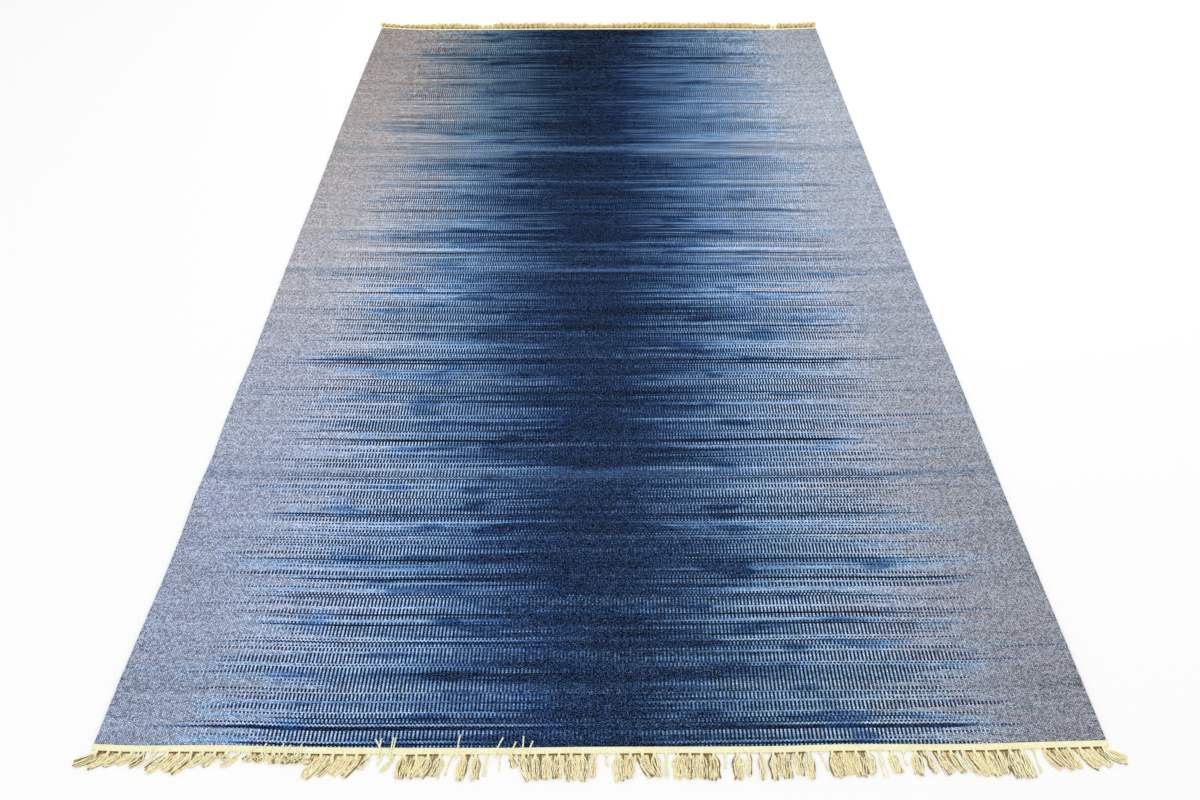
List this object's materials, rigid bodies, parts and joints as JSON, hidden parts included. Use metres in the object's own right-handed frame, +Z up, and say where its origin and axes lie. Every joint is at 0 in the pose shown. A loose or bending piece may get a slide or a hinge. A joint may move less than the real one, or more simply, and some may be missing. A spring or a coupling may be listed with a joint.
{
  "type": "dhurrie rug",
  "caption": "Flat-woven rectangular floor rug with shaded blue weft, cream woven heading bands and knotted fringe at both ends.",
  "frame": {"origin": "on the floor, under the middle of the cloth", "axes": "+X across the rug along the weft, +Y along the rug from the near end to the far end, +Z up"},
  "size_m": [1.855, 3.1111, 0.004],
  "materials": {
    "dyed_weft": "matt weft-faced flatweave, space-dyed grey-blue to navy, ribbed along the warp",
    "undyed_heading": "matt undyed cotton plain weave, cream",
    "undyed_warp": "matt two-ply undyed cotton yarn, beige"
  },
  "bodies": {
    "root": {"woven_field": "dyed_weft", "heading_near": "undyed_heading", "heading_far": "undyed_heading", "fringe_near": "undyed_warp", "fringe_far": "undyed_warp"}
  },
  "joints": []
}
